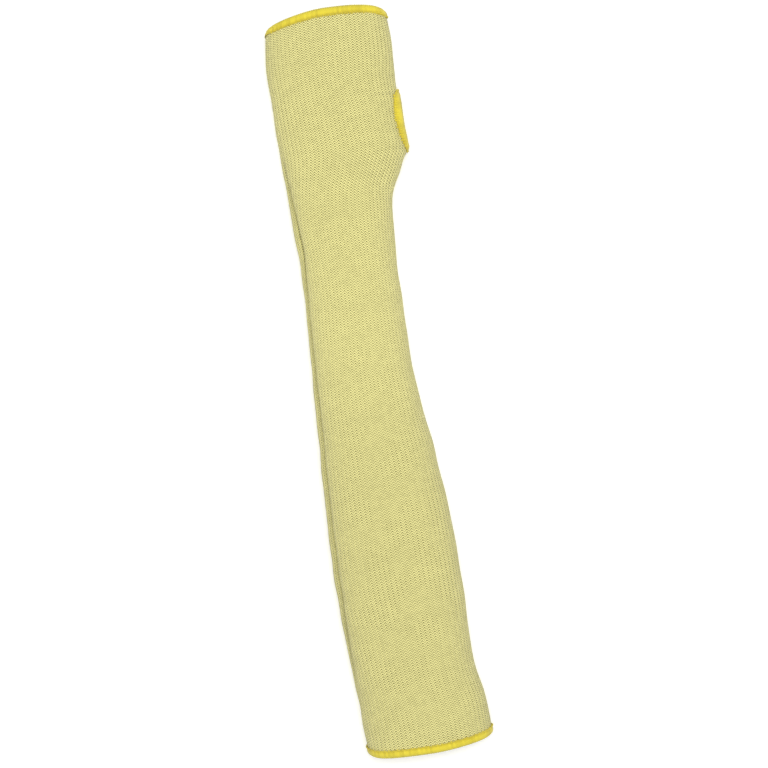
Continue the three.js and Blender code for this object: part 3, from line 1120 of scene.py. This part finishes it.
def knit_material():
    """Plain knit: columns of V-shaped stitches on its face and bars of yarn on its back, with
    painted shade between the yarns and in the fold.
    """
    material, tree, shader = cloth_material("knit", sheen=0.15)
    wale, course = uv_fields(tree, "Stitch")
    spot = place_on_object(tree)
    inside = attribute_of(tree, "inside")
    fold_painted_shade = attribute_of(tree, "fold_painted_shade")
    across = (wale.fract() - 0.5).size() * 2
    phase = course - across * LEG_SLOPE
    leg = 1 - (phase.fract() * 2 - 1).size().power(LEG_POWER)
    bar = knit_back(wale, course)
    patchy = noise_of(tree, spot, PATCH_SCALE, detail=1.0).smooth(*PATCH_RANGE)
    stitch = random_of(tree, wale.floor(), phase.floor())
    fibres = vector_of(tree, wale * FIBRES_A_WALE, course * FIBRES_A_COURSE)
    fibre = noise_of(tree, fibres, 1.0, detail=3.0)

    # Painted shade of the face's stitches, and of the back between its bars
    face_painted_shade = knit_face_painted_shade(wale, course, across, leg, patchy)
    back_painted_shade = 1 - (1 - bar) * BAR_PAINTED_SHADE
    tone = face_painted_shade * (1 - inside) + back_painted_shade * inside
    # The fold gets painted shade on top of the stitches' own uneven tone
    tone = (tone + (stitch - 0.5) * STITCH_SPREAD - fold_painted_shade * PAINTED_FOLD_SHADE).clamped()
    value = knit_value(tree, spot, course, patchy, fibre)
    colour = brightened(tree, mixed_colour(tree, tone, KNIT_PAINTED_SHADE, KNIT_LIGHT), value)
    tree.links.new(colour, shader.inputs["Base Color"])

    sunk = across.smooth(*VALLEY_ACROSS) * VALLEY_RELIEF
    grooved = (1 - across.smooth(*GROOVE_ACROSS)) * GROOVE_RELIEF
    face_height = leg * (1 - sunk) * (1 - grooved)
    height = face_height * (1 - inside) + bar * inside + (fibre - 0.5) * FIBRE_RELIEF
    set_relief(tree, shader, height, KNIT_RELIEF)
    return material


def knit_back(wale, course):
    """Bars of yarn in shallow arcs, half a course out of step from wale to wale."""
    arc = (wale * (2 * math.pi)).sine()
    return 1 - ((course + arc * BACK_ARC).fract() * 2 - 1).power(2)


def knit_face_painted_shade(wale, course, across, leg, patchy):
    """How light the face is under painted shade: between its legs, in a hole beside each, in its
    grooves and in the rib valleys at its sides.
    """
    loose = course.smooth(*LOOSE_COURSES)
    at_fold = 1 - (wale - WALES / 2).size().smooth(0.0, FOLD_WALES)
    hole = across.smooth(*VALLEY_ACROSS) * (1 - leg.smooth(*HOLE_LEG))
    open_share = HOLE_LEAST + loose * HOLE_LOOSE + patchy * HOLE_PATCHY
    holes = hole * open_share * (1 - at_fold * HOLE_FOLDED)
    leg_painted_shade = (1 - leg) * (LEG_PAINTED_SHADE + loose * LOOSE_PAINTED_SHADE)
    at_side = (((wale * (2 / WALES)).fract() - 0.5).size() * 2).smooth(*SIDE_SHARE)
    # Painted shade in the rib valleys at both sides, which darkens the sides as a whole
    painted_rib_shade = across.smooth(*RIB_ACROSS) * at_side
    groove = 1 - across.smooth(*GROOVE_ACROSS)
    stitch_painted_shade = (holes * HOLE_PAINTED_SHADE + leg_painted_shade) * (1 - at_side * SIDE_CALM)
    return 1 - stitch_painted_shade - groove * GROOVE_PAINTED_SHADE - painted_rib_shade * PAINTED_RIB_SHADE


def knit_value(tree, spot, course, patchy, fibre):
    """How bright the knit is: lighter towards the hand, with slow and fine unevenness."""
    blotch = noise_of(tree, spot, BLOTCH_SCALE)
    stripe = noise_of(tree, vector_of(tree, 0.0, course * STRIPES_A_COURSE), 1.0, detail=3.0)
    value = KNIT_VALUE + patchy * PATCH_VALUE + course.smooth(*LIGHT_COURSES) * LIGHT_VALUE
    value = value + (fibre - 0.5) * FIBRE_SPREAD + (blotch - 0.5) * BLOTCH_SPREAD
    return value + (stripe - 0.5) * STRIPE_SPREAD


# The thread's plies, in turns of its UV, the painted shade between them, by the knit and round the
# edge, and how it varies
PLY_RUN = 1.1
PLY_ACROSS = 0.9
PLY_POWER = 2.5
THREAD_TONE = 0.8
PLY_PAINTED_SHADE = 0.16
BORDER_PAINTED_SHADE = 0.28
FUZZ_SPREAD = 0.4
THREAD_SPREAD = 0.36
WORN_SPREAD = 0.24
RIM_PAINTED_SHADE = 0.4

# Where a looper thread gets painted shade, by the knit, and olive painted shade, round the edge:
# shares of its run
BORDER_OFF = (0.38, 0.48)
RIM_OFF = (0.07, 0.2)

# Fuzz and wear by the metre, and the thread's relief, in millimetres and as shares of it
FUZZ_SCALE = 2600
WORN_SCALE = 45
THREAD_RELIEF = 0.12
PLY_RELIEF = 0.8
FUZZ_RELIEF = 0.4


def thread_material():
    """Fluffy two-ply thread, with painted shade between its plies and along the needle line, and
    olive painted shade round the very edge.
    """
    material, tree, shader = cloth_material("overlock_thread", sheen=0.2)
    count, run = uv_fields(tree, "Thread")
    spot = place_on_object(tree)
    twist = ((run * PLY_RUN + count.fract() * PLY_ACROSS).fract() * 2 - 1).size()
    ply = 1 - twist.power(PLY_POWER)
    fuzz = noise_of(tree, spot, FUZZ_SCALE)
    own = random_of(tree, count.floor(), 0.0)
    off_edge = (run * (1 / THREAD_TURNS) - 0.5).size()
    # Painted shade where the thread dips into the knit, and olive painted shade round the very edge
    painted_border_shade = off_edge.smooth(*BORDER_OFF)
    rim = 1 - off_edge.smooth(*RIM_OFF)
    tone = THREAD_TONE + ply * PLY_PAINTED_SHADE - painted_border_shade * BORDER_PAINTED_SHADE
    tone = tone + (fuzz - 0.5) * FUZZ_SPREAD + (own - 0.5) * THREAD_SPREAD
    yellow = mixed_colour(tree, tone.clamped(), THREAD_DARK, THREAD_LIGHT)
    rim_shaded_yellow = mixed_colour(tree, rim * RIM_PAINTED_SHADE, yellow, THREAD_RIM_PAINTED_SHADE)
    worn = noise_of(tree, spot, WORN_SCALE, detail=1.0)
    colour = brightened(tree, rim_shaded_yellow, 1 + (worn - 0.5) * WORN_SPREAD)
    tree.links.new(colour, shader.inputs["Base Color"])
    set_relief(tree, shader, ply * PLY_RELIEF + fuzz * FUZZ_RELIEF, THREAD_RELIEF)
    return material


def floor_material():
    """A pale matt floor, which gives off a little light so that it shows as white."""
    material = bpy.data.materials.new("floor")
    material.use_nodes = True
    shader = material.node_tree.nodes["Principled BSDF"]
    shader.inputs["Base Color"].default_value = (*FLOOR_GREY, 1)
    shader.inputs["Emission Color"].default_value = (1, 1, 1, 1)
    shader.inputs["Emission Strength"].default_value = FLOOR_GLOW
    shader.inputs["Roughness"].default_value = 0.9
    shader.inputs["Specular IOR Level"].default_value = 0.1
    return material


# The pieces of the sleeve

FLAT_SECTIONS = 60


def add_knit_tube(shift):
    points, faces, uv_maps, inside, fold_painted_shade = knit_tube()
    piece = add_mesh("knit_tube", points + shift, faces, uv_maps, knit_material())
    add_attribute(piece, "inside", inside, "FACE")
    # The fold's painted shade, for each point
    add_attribute(piece, "fold_painted_shade", fold_painted_shade, "POINT")
    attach(piece, "root")
    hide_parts("sleeve_body")
    girths = [even_angles(row, 3)[1] for row in np.linspace(-RIM_AT, RIM_AT, FLAT_SECTIONS)]


def add_bindings(shift):
    material = thread_material()
    for rim, width, (place, girth) in (
        ("hand", HAND_BAND, rim_place(1)),
        ("arm", ARM_BAND, rim_place(-1)),
        ("thumb", THUMB_BAND, slot_place()),
    ):
        band = band_width(rim, width)
        overlock(rim + "_overlock", rim + "_binding", place, girth, band, shift, material)


# The picture: the camera looks straight down, turned so that the sleeve lies as in the photo, and
# the picture's width is taken at a level inside the sleeve. In metres, the sensor in millimetres.
CAMERA_TURN = math.radians(-8)
CAMERA_HEIGHT = 1.56
CAMERA_PLACE = (0.00486, -0.0033)
PICTURE_WIDTH = 0.4698
PICTURE_LEVEL = 0.02
SENSOR = 36.0


def add_camera():
    data = bpy.data.cameras.new("camera")
    data.sensor_width = SENSOR
    data.lens = SENSOR * (CAMERA_HEIGHT - PICTURE_LEVEL) / PICTURE_WIDTH
    camera = bpy.data.objects.new("camera", data)
    camera.location = (*CAMERA_PLACE, CAMERA_HEIGHT)
    camera.rotation_euler = (0, 0, CAMERA_TURN)
    bpy.context.scene.collection.objects.link(camera)
    bpy.context.scene.camera = camera


# The floor, in millimetres: just under the sleeve, so that the two faces don't fight
FLOOR_HALF = 4000
FLOOR_LEVEL = -0.2

# One large soft light overhead, in metres and watts, and the light of the room
LIGHT_PLACE = (0.06, 0.1, 2.3)
LIGHT_SIZE = 1.2
LIGHT_POWER = 53.5
ROOM_LIGHT = 0.18


def add_light():
    data = bpy.data.lights.new("overhead", "AREA")
    data.size = LIGHT_SIZE
    data.energy = LIGHT_POWER
    light = bpy.data.objects.new("overhead", data)
    light.location = LIGHT_PLACE
    light.rotation_mode = "QUATERNION"
    light.rotation_quaternion = (-Vector(LIGHT_PLACE)).to_track_quat("-Z", "Y")
    bpy.context.scene.collection.objects.link(light)


def add_floor():
    corners = [(-1, -1), (1, -1), (1, 1), (-1, 1)]
    points = np.array([(x * FLOOR_HALF, y * FLOOR_HALF, FLOOR_LEVEL) for x, y in corners])
    floor = add_mesh("floor", points, [(0, 1, 2, 3)], {}, floor_material(), smooth=False)


def add_studio():
    add_floor()
    add_light()
    world = bpy.data.worlds.new("studio")
    world.use_nodes = True
    background = world.node_tree.nodes["Background"]
    background.inputs["Color"].default_value = (1, 1, 1, 1)
    background.inputs["Strength"].default_value = ROOM_LIGHT
    bpy.context.scene.world = world
    bpy.context.scene.view_settings.view_transform = "Standard"
    # Stitches are as fine as the picture's grain, and a prefilter would smooth them away.
    bpy.context.scene.cycles.denoising_prefilter = "NONE"


shift = shift_to_frame()
add_knit_tube(shift)
add_bindings(shift)
add_studio()
add_camera()
